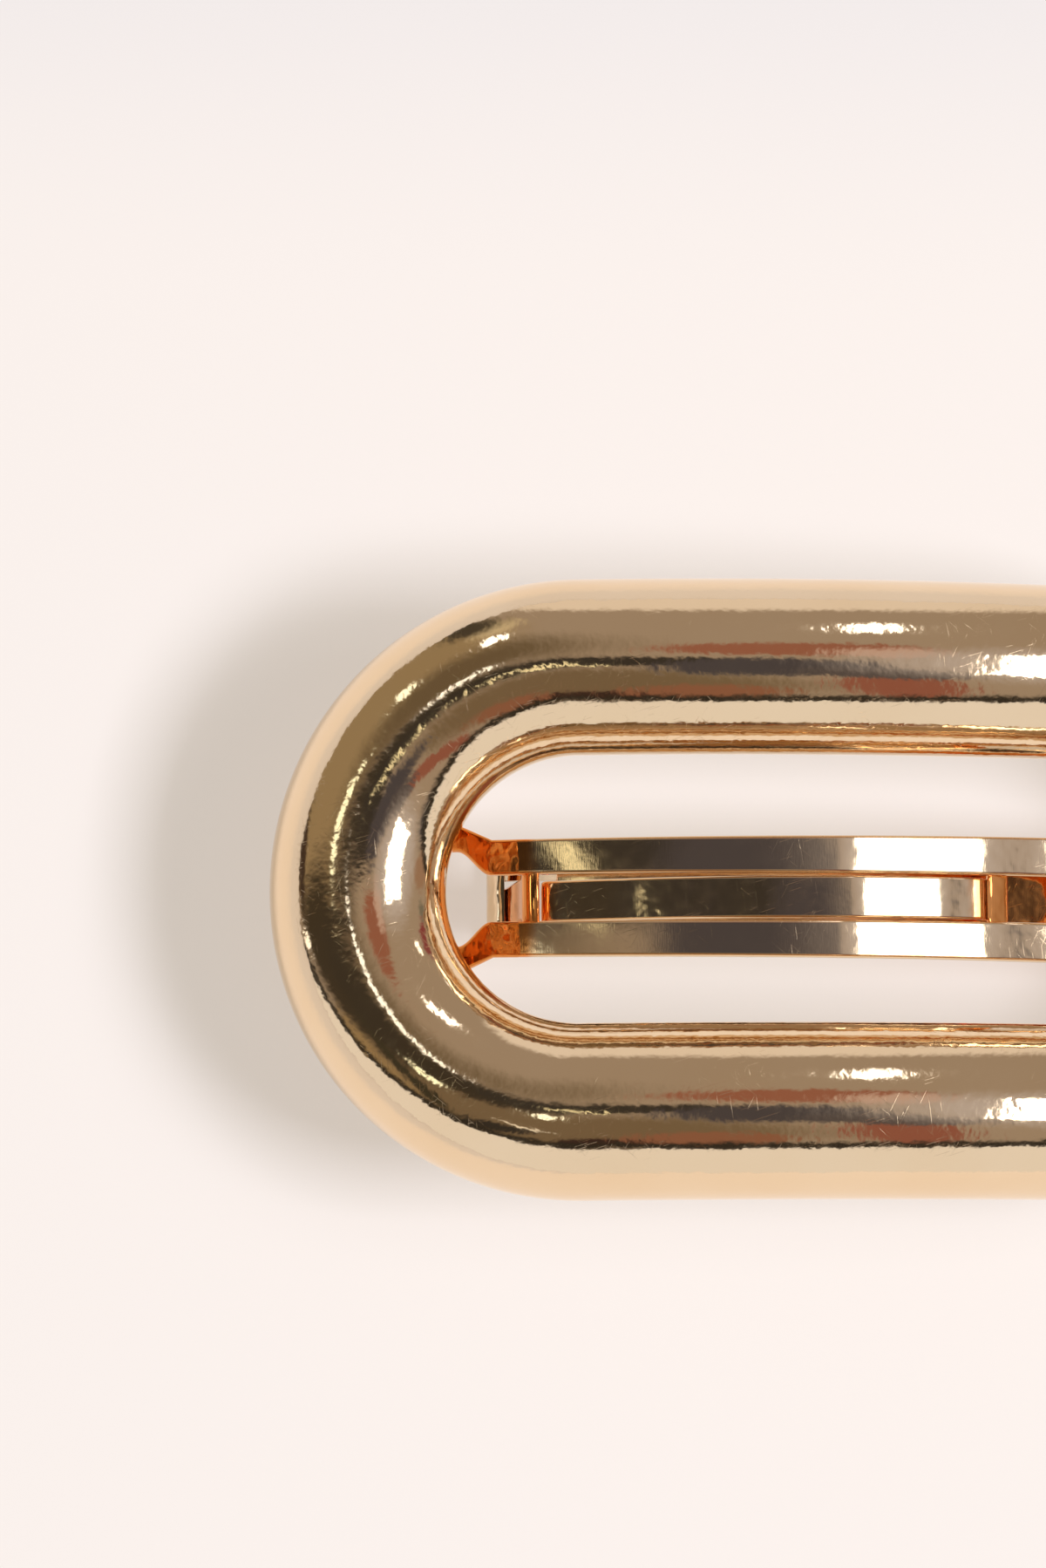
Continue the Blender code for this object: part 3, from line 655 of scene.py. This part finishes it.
def closing_arm(finish):
    """The lower bar, with a window behind its tip and a curl round the pin."""
    points = [(TIP_BEND[0] - BEND_OUTSIDE, TIP_EDGE_Z)]
    points += arc(TIP_BEND, BEND_OUTSIDE, math.pi, 0.5 * math.pi + TIP_LEAN, BEND_STEPS)
    leave = lean(AXIS, PIN_CENTRE) + math.acos((ARM_TOP + CURL_EYE) / PIN_ORBIT)
    points += arc(AXIS, ARM_TOP, 0.5 * math.pi + TIP_LEAN, leave, ARCH_STEPS)[1:]
    below = leave - math.pi
    points += arc(PIN_CENTRE, CURL_EYE, below, below + CURL_TURN, 3 * BEND_STEPS)
    route = Route(points)
    tip = (ARM_TIP_CORNER, ARM_HALF - ARM_TIP_CORNER)
    edge = arc(tip, ARM_TIP_CORNER, math.pi, 0.5 * math.pi, CORNER_STEPS)
    edge.append((route.length, ARM_HALF))
    mesh = bent(route, edge + mirrored(edge), PLATE_THICKNESS, ARM_RIM)
    made = piece("arm_stamping", mesh, finish, "arm", "closing_arm")
    left = LIP_FACE - CATCH_CLEARANCE
    right = left + WINDOW_LENGTH
    top = AXIS_Z + BASE_BOTTOM
    edge = [(left, -PLATE_THICKNESS), (right, -PLATE_THICKNESS), (right, top), (left, top)]
    punched(made, side_plate(edge, -WINDOW_HALF, 2.0 * WINDOW_HALF, BARB_RIM))
    weighted(made)


def punched(made, tool):
    """Cuts a closed mesh out of a piece."""
    data = bpy.data.meshes.new("punch")
    bmesh.ops.recalc_face_normals(tool, faces=tool.faces[:])
    tool.to_mesh(data)
    tool.free()
    punch = bpy.data.objects.new("punch", data)
    bpy.context.scene.collection.objects.link(punch)
    step = made.modifiers.new("punch", "BOOLEAN")
    step.operation = "DIFFERENCE"
    step.solver = "EXACT"
    step.object = punch
    bpy.context.view_layer.update()
    graph = bpy.context.evaluated_depsgraph_get()
    cut = bpy.data.meshes.new_from_object(made.evaluated_get(graph))
    made.modifiers.clear()
    made.data = cut
    bpy.data.objects.remove(punch, do_unlink=True)


def tension_spring(finish):
    """The tongue that presses on the hair, with its wings under the rails."""
    first = height_over(SPRING_AXIS, SPRING_ORBIT, SPRING_STRIP_END - SPRING_BEND)
    second = height_over(AXIS, FOOT_TOP + SPRING_BEND_INSIDE, first[0] + JOGGLE_RUN)
    slope = lean(first, second) - math.asin((SPRING_BEND + SPRING_BEND_INSIDE) / math.dist(first, second))
    tip = height_over(SPRING_AXIS, SPRING_ORBIT, SPRING_TIP + SPRING_BEND)
    left = lean(SPRING_AXIS, tip)
    right = lean(SPRING_AXIS, first)
    upright = 0.5 * math.pi
    points = [(SPRING_TIP, tip[1] - SPRING_TIP_DROP)]
    points += arc(tip, SPRING_BEND, math.pi, left, BEND_STEPS)
    points += arc(SPRING_AXIS, SPRING_RADIUS, left, right, ARCH_STEPS // 2)[1:]
    points += arc(first, SPRING_BEND, right, slope + upright, BEND_STEPS)[1:]
    foot = lean(AXIS, second)
    points += arc(second, SPRING_BEND_INSIDE, slope - upright, foot - math.pi, BEND_STEPS)
    points += arc(AXIS, FOOT_TOP, foot, foot - SPRING_FOOT_LENGTH / FOOT_TOP, CORNER_STEPS)[1:]
    route = Route(points)
    corner = SPRING_TIP_CORNER
    wing = SPRING_WING_CORNER
    wing_start = route.length - SPRING_FOOT_LENGTH
    edge = arc((corner, SPRING_HALF - corner), corner, math.pi, 0.5 * math.pi, CORNER_STEPS)
    edge.append((wing_start, SPRING_HALF))
    edge.append((wing_start + SPRING_WING_RAMP, SPRING_WING_HALF))
    middle = (route.length - wing, SPRING_WING_HALF - wing)
    edge += arc(middle, wing, 0.5 * math.pi, 0.0, CORNER_STEPS)
    mesh = bent(route, edge + mirrored(edge), SPRING_THICKNESS, SPRING_RIM)
    weighted(piece("spring_tongue", mesh, finish, "spring", "tension_spring"))


def dome(radius, height):
    """A domed head's profile as (distance along, radius), from its top down to its rim at zero."""
    quarter = arc((0.0, 0.0), 1.0, 0.0, 0.5 * math.pi, CORNER_STEPS)
    return [(-height * out, radius * across) for out, across in quarter]


def hinge_pin(finish):
    """The pin through both ears and the arm's curl, with a domed head at each end."""
    seat = EAR_OUTER + SEAT_GAP
    profile = [(along - seat, radius) for along, radius in dome(HEAD_RADIUS, HEAD_LENGTH)]
    profile.append((-seat, PIN_RADIUS))
    profile += [(-along, radius) for along, radius in reversed(profile)]
    centre = (PIN_CENTRE[0], 0.0, PIN_CENTRE[1])
    mesh = turned(profile, centre, (0.0, 1.0, 0.0), (1.0, 0.0, 0.0))
    piece("pin", mesh, finish, "base", "hinge_pin")


def rivets(finish):
    """The four rivets that hold the plate to the ring, domed on the underside."""
    number = 0
    for side, half in ((-1.0, LEFT_RIVET_HALF), (1.0, RIGHT_RIVET_HALF)):
        reach = RING_STRAIGHT_HALF + math.sqrt(RING_END_RADIUS ** 2 - half ** 2)
        for y in (half, -half):
            number += 1
            along = side * reach
            seat = RING_BACK_DEPTH + SEAT_GAP + PLATE_THICKNESS + SEAT_GAP
            foot = Vector(on_arch(along, y, -seat))
            axis = Vector(on_arch(along, y, 0.0)) - foot
            length = seat - RING_BACK_DEPTH + RIVET_DEPTH
            profile = dome(RIVET_HEAD_RADIUS, RIVET_HEAD_HEIGHT)
            profile += [(0.0, RIVET_RADIUS), (length, RIVET_RADIUS), (length, 0.0)]
            mesh = turned(profile, foot, axis, (0.0, 1.0, 0.0))
            piece("rivet_%d" % number, mesh, finish, "base", "base_rivet_%d" % number)


class Graph:
    """A node tree, with a short way to add a node and link its inputs."""

    def __init__(self, owner):
        owner.use_nodes = True
        self.tree = owner.node_tree
        self.tree.nodes.clear()

    def add(self, kind, inputs=(), **settings):
        """A node of a kind, its settings, and its inputs as values or as other nodes' outputs."""
        node = self.tree.nodes.new("ShaderNode" + kind)
        for name, value in settings.items():
            setattr(node, name, value)
        for key, value in dict(inputs).items():
            if isinstance(value, bpy.types.NodeSocket):
                self.tree.links.new(value, node.inputs[key])
            else:
                node.inputs[key].default_value = value
        return node

    def maths(self, operation, *values):
        """The result of a maths node."""
        return self.add("Math", enumerate(values), operation=operation).outputs[0]

    def between(self, value, low, high, result_low=0.0, result_high=1.0):
        """A value eased from one range to another, and held at its ends."""
        inputs = {"Value": value, "From Min": low, "From Max": high}
        inputs |= {"To Min": result_low, "To Max": result_high}
        return self.add("MapRange", inputs, interpolation_type="SMOOTHSTEP").outputs[0]

    def blend(self, share, first, second):
        """Two colours mixed by a share. The mix node has its colours at inputs 6 and 7 and output 2."""
        node = self.add("Mix", {0: share, 6: first, 7: second}, data_type="RGBA")
        return node.outputs[2]

    def noise(self, place, scale, detail):
        """A noise's value at a place."""
        return self.add("TexNoise", {"Vector": place, "Scale": scale, "Detail": detail}).outputs["Fac"]

    def streaks(self, place, turn, streak, detail):
        """A noise stretched to streaks of a given size, turned about Z."""
        inputs = {"Vector": place, "Rotation": (0.0, 0.0, turn), "Scale": streak}
        return self.noise(self.add("Mapping", inputs, vector_type="TEXTURE").outputs[0], 1.0, detail)

    def bump(self, height, distance, under):
        """A normal with a bump of a height times a distance, over another normal if there is one."""
        inputs = {"Height": height, "Distance": distance, "Strength": 1.0}
        if under:
            inputs["Normal"] = under
        return self.add("Bump", inputs).outputs[0]


def gilding(name, roughness, peel, scratches, face=None):
    """Mirror plating with orange peel, hairline scratches and patches of wear, and painted shade at the
    stampings' bent ends.
    """
    finish = bpy.data.materials.new(name)
    graph = Graph(finish)
    place = graph.add("TexCoord").outputs["Object"]
    cloud = graph.noise(place, CLOUD_SCALE, 3.0)
    grain = graph.noise(place, GRAIN_SCALE, 1.5)
    fine = graph.noise(place, FINE_SCALE, 0.6)
    lines = 0.0
    for turn, least in SCRATCH_WAYS:
        line = graph.streaks(place, turn, SCRATCH_STREAK, 1.0)
        lines = graph.maths("ADD", graph.between(line, least, least + SCRATCH_EDGE), lines)
    lines = graph.maths("MULTIPLY", lines, graph.between(cloud, SCUFFED_FROM, SCUFFED_TO))
    rough = graph.between(grain, GRAIN_FROM, GRAIN_TO, roughness, roughness * GRAIN_ROUGHER)
    rough = graph.maths("ADD", rough, graph.maths("MULTIPLY", lines, SCRATCH_ROUGHNESS))
    worn = [level * share for level, share in zip(GOLD, WORN_SHARE)]
    tint = graph.blend(cloud, (*GOLD, 1.0), (*worn, 1.0))
    normal = None
    if face:
        # Painted shade: deep orange towards the stampings' bent ends
        tint = painted_shade_ends(graph, place, tint, face)
        normal = hand_bent(graph, place, face)
    normal = graph.bump(cloud, peel, normal)
    normal = graph.bump(grain, peel * GRAIN_SHARE, normal)
    normal = graph.bump(fine, peel * FINE_SHARE, normal)
    normal = graph.bump(lines, -scratches, normal)
    inputs = {"Base Color": tint, "Metallic": 1.0, "Roughness": rough, "Normal": normal}
    shader = graph.add("BsdfPrincipled", inputs)
    graph.add("OutputMaterial", {"Surface": shader.outputs[0]})
    return finish


def painted_shade_ends(graph, place, tint, face):
    """Painted shade: the plating turns deep orange at the feet, the crossbar and the joggle, which bend down
    into shade and mirror the gold.
    """
    split = graph.add("SeparateXYZ", {0: place})
    along = split.outputs[0]
    waver = graph.maths("MULTIPLY", graph.noise(place, PAINTED_SHADE_WAVER_SCALE, 2.0), PAINTED_SHADE_WAVER)
    aside = graph.maths("ABSOLUTE", split.outputs[1])
    middle = graph.between(aside, MIDDLE_OUTSIDE, MIDDLE_INSIDE, 0.0, PAINTED_SHADE_MIDDLE)
    waver = graph.maths("ADD", waver, middle)
    left = graph.maths("SUBTRACT", waver, along)
    left = graph.between(left, face.copper_left, face.copper_left + face.fade)
    right = graph.maths("ADD", waver, along)
    right = graph.between(right, face.copper_right, face.copper_right + face.fade)
    return graph.blend(graph.maths("MAXIMUM", left, right), tint, PAINTED_SHADE_ORANGE)


def hand_bent(graph, place, face):
    """The stampings face a little to one side, and have flatter and steeper stretches between creases."""
    split = graph.add("SeparateXYZ", {0: place})
    waver = graph.maths("MULTIPLY", graph.noise(place, CREASE_WAVER_SCALE, 2.0), CREASE_WAVER)
    along = graph.maths("ADD", split.outputs[0], waver)
    back = graph.maths("MULTIPLY", graph.maths("MAXIMUM", split.outputs[1], 0.0), face.lean_back)
    front = graph.maths("MULTIPLY", graph.maths("MINIMUM", split.outputs[1], 0.0), face.lean_front)
    height = graph.maths("ADD", back, front)
    for start, end, slope in face.slopes:
        height = graph.maths("ADD", height, graph.between(along, start, end, 0.0, slope * (end - start)))
    foot = graph.maths("SUBTRACT", graph.maths("ABSOLUTE", along), FOOT_FROM)
    foot = graph.maths("MULTIPLY", graph.maths("MAXIMUM", foot, 0.0), -FOOT_LEAN)
    height = graph.maths("ADD", height, foot)
    brushed = graph.streaks(place, 0.0, BRUSH_STREAK, 2.0)
    return graph.bump(brushed, BRUSH_DEPTH, graph.bump(height, 1.0, None))


def floor():
    """A pale sheet under the clip, seen only from above. It is lit and glows, keeps the clip's shadow, and
    has painted shade behind and to the left.
    """
    mesh = bmesh.new()
    corners = []
    for x, y in ((-1, -1), (1, -1), (1, 1), (-1, 1)):
        corners.append(mesh.verts.new((x * FLOOR_HALF, y * FLOOR_HALF, 0.0)))
    mesh.faces.new(corners)
    data = bpy.data.meshes.new("floor")
    mesh.to_mesh(data)
    mesh.free()
    finish = bpy.data.materials.new("paper")
    graph = Graph(finish)
    geometry = graph.add("NewGeometry")
    place = graph.add("SeparateXYZ", {0: geometry.outputs["Position"]})
    # Painted shade: the paper goes darker behind and to the left
    backward = graph.between(place.outputs[1], *DIM_BACK)
    leftward = graph.between(graph.maths("MULTIPLY", place.outputs[0], -1.0), *DIM_LEFT)
    painted_shade_share = graph.maths("MAXIMUM", backward, leftward)
    paper = graph.add("BsdfDiffuse", {"Color": graph.blend(painted_shade_share, PAPER, PAPER_PAINTED_SHADE)}).outputs[0]
    glow = graph.add("Emission", {"Color": graph.blend(painted_shade_share, GLOW, GLOW_PAINTED_SHADE), "Strength": 1.0}).outputs[0]
    path = graph.add("LightPath")
    seen = graph.maths("MAXIMUM", path.outputs["Is Camera Ray"], path.outputs["Is Glossy Ray"])
    share = graph.maths("MULTIPLY", seen, GLOW_SHARE)
    sheet = graph.add("MixShader", {0: share, 1: paper, 2: glow}).outputs[0]
    clear = graph.add("BsdfTransparent").outputs[0]
    both = graph.add("MixShader", {0: geometry.outputs["Backfacing"], 1: sheet, 2: clear}).outputs[0]
    graph.add("OutputMaterial", {"Surface": both})
    data.materials.append(finish)
    made = bpy.data.objects.new("floor", data)
    bpy.context.scene.collection.objects.link(made)
    made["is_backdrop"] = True


def room():
    """The world that the gilding mirrors: a ceiling and a wall, the pale table's edge, and plain patches."""
    world = bpy.data.worlds.new("room")
    bpy.context.scene.world = world
    graph = Graph(world)
    direction = graph.add("TexCoord").outputs["Generated"]
    split = graph.add("SeparateXYZ", {0: direction})
    up = split.outputs[2]
    # A little over 1, so that straight up divides by more than nothing
    sideways = graph.maths("SQRT", graph.maths("SUBTRACT", 1.0001, graph.maths("POWER", up, 2.0)))
    turned_down = graph.maths("DEGREES", graph.maths("ARCCOSINE", up))
    stretch = graph.maths("DIVIDE", turned_down, sideways)
    across = graph.maths("MULTIPLY", split.outputs[0], stretch)
    along = graph.maths("MULTIPLY", split.outputs[1], stretch)
    colour = CEILING
    for patch in ROOM_PATCHES:
        colour = graph.blend(room_share(graph, patch, across, along), colour, (*patch.colour, 1.0))
    bend = graph.maths("POWER", graph.maths("SUBTRACT", across, TABLE_EDGE_MIDDLE), 2.0)
    bend = graph.maths("MULTIPLY", bend, TABLE_EDGE_BEND)
    edge = graph.maths("SUBTRACT", along, graph.maths("ADD", bend, TABLE_EDGE))
    clutter = graph.between(graph.noise(direction, CLUTTER_SCALE, 2.0), *CLUTTER_GAPS)
    clutter = graph.maths("MULTIPLY", graph.between(edge, CLUTTER_FROM, CLUTTER_TO), clutter)
    colour = graph.blend(clutter, colour, CLUTTER)
    colour = graph.blend(graph.between(edge, TABLE_EDGE_FROM, TABLE_EDGE_TO), colour, TABLE)
    light = graph.add("Background", {"Color": colour, "Strength": 1.0}).outputs[0]
    white = graph.add("Background", {"Color": BACKDROP, "Strength": 1.0}).outputs[0]
    plain = graph.add("Background", {"Color": FILL, "Strength": 1.0}).outputs[0]
    path = graph.add("LightPath")
    around = graph.add("MixShader", {0: path.outputs["Is Glossy Ray"], 1: plain, 2: light}).outputs[0]
    both = graph.add("MixShader", {0: path.outputs["Is Camera Ray"], 1: around, 2: white}).outputs[0]
    graph.add("OutputWorld", {"Surface": both})


def room_share(graph, patch, across, along):
    """How much of a direction a patch of the room covers: an ellipse with a soft rim."""
    turn = math.radians(patch.turn)
    left = graph.maths("SUBTRACT", across, patch.across)
    low = graph.maths("SUBTRACT", along, patch.along)
    first = graph.maths("ADD", graph.maths("MULTIPLY", left, math.cos(turn) / patch.half_across),
                        graph.maths("MULTIPLY", low, math.sin(turn) / patch.half_across))
    second = graph.maths("SUBTRACT", graph.maths("MULTIPLY", low, math.cos(turn) / patch.half_along),
                         graph.maths("MULTIPLY", left, math.sin(turn) / patch.half_along))
    squares = graph.maths("ADD", graph.maths("POWER", first, 2.0), graph.maths("POWER", second, 2.0))
    reach = graph.maths("SQRT", squares)
    return graph.between(reach, 1.0 + patch.soft, 1.0 - patch.soft)


def lamp(name, size, watts, colour, tilt_x, tilt_y):
    """A soft lamp that faces the clip from a direction given by its tilts from straight up, in degrees."""
    data = bpy.data.lights.new(name, "AREA")
    data.shape = "RECTANGLE"
    data.size, data.size_y = size
    data.energy = watts
    data.color = colour
    made = bpy.data.objects.new(name, data)
    way = Vector((math.tan(math.radians(tilt_x)), math.tan(math.radians(tilt_y)), 1.0)).normalized()
    made.location = way * LAMP_DISTANCE
    made.rotation_euler = way.to_track_quat("Z", "Y").to_euler()
    bpy.context.scene.collection.objects.link(made)
    return made


def camera():
    """The photograph's view: nearly straight down, from a little towards its lower left corner."""
    data = bpy.data.cameras.new("camera")
    data.sensor_fit = "VERTICAL"
    data.sensor_height = SENSOR
    data.lens = SENSOR * CAMERA_DISTANCE / (PHOTO_HEIGHT * PIXEL)
    data.clip_start = CLIP_START
    made = bpy.data.objects.new("camera", data)
    x = (PHOTO_WIDTH / 2 - MIDDLE_COLUMN) * PIXEL
    y = (MIDDLE_ROW - PHOTO_HEIGHT / 2) * PIXEL
    target = Vector((x, y, AXIS_Z + ARCH_RADIUS))
    back = Vector((-math.tan(CAMERA_PAN), -math.tan(CAMERA_TILT), 1.0)).normalized()
    made.location = target + back * CAMERA_DISTANCE
    level = Vector((0.0, 1.0, 0.0)).cross(back).normalized()
    right = Matrix.Rotation(CAMERA_ROLL, 3, back) @ level
    up = back.cross(right)
    made.rotation_euler = Matrix((right, up, back)).transposed().to_euler()
    bpy.context.scene.collection.objects.link(made)
    bpy.context.scene.camera = made


def main():
    """Every piece, its finish, the stage and the lights."""
    ring(gilding("ring_gold", roughness=0.055, peel=0.000034, scratches=0.0000014))
    base_plate(gilding("plate_gold", roughness=0.055, peel=0.000007, scratches=0.0000009, face=PLATE_FACE))
    closing_arm(gilding("arm_gold", roughness=0.06, peel=0.000007, scratches=0.000001, face=ARM_FACE))
    finish = gilding("spring_gold", roughness=0.07, peel=0.000009, scratches=0.0000012, face=SPRING_FACE)
    tension_spring(finish)
    hinge_pin(gilding("pin_gold", roughness=0.08, peel=0.000008, scratches=0.000003))
    rivets(gilding("rivet_gold", roughness=0.08, peel=0.000008, scratches=0.000003))
    floor()
    room()
    lamp("window", size=(1.13, 0.98), watts=16.0, colour=(0.97, 0.985, 1.0), tilt_x=34.0, tilt_y=-2.0)
    key = lamp("key", size=(0.84, 0.66), watts=52.0, colour=(0.935, 0.965, 1.07), tilt_x=33.5, tilt_y=-9.5)
    key.visible_glossy = False
    camera()
    bpy.context.scene.view_settings.view_transform = "Standard"


main()
[[list(corner) for corner in box] for box in (cad_box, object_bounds())]
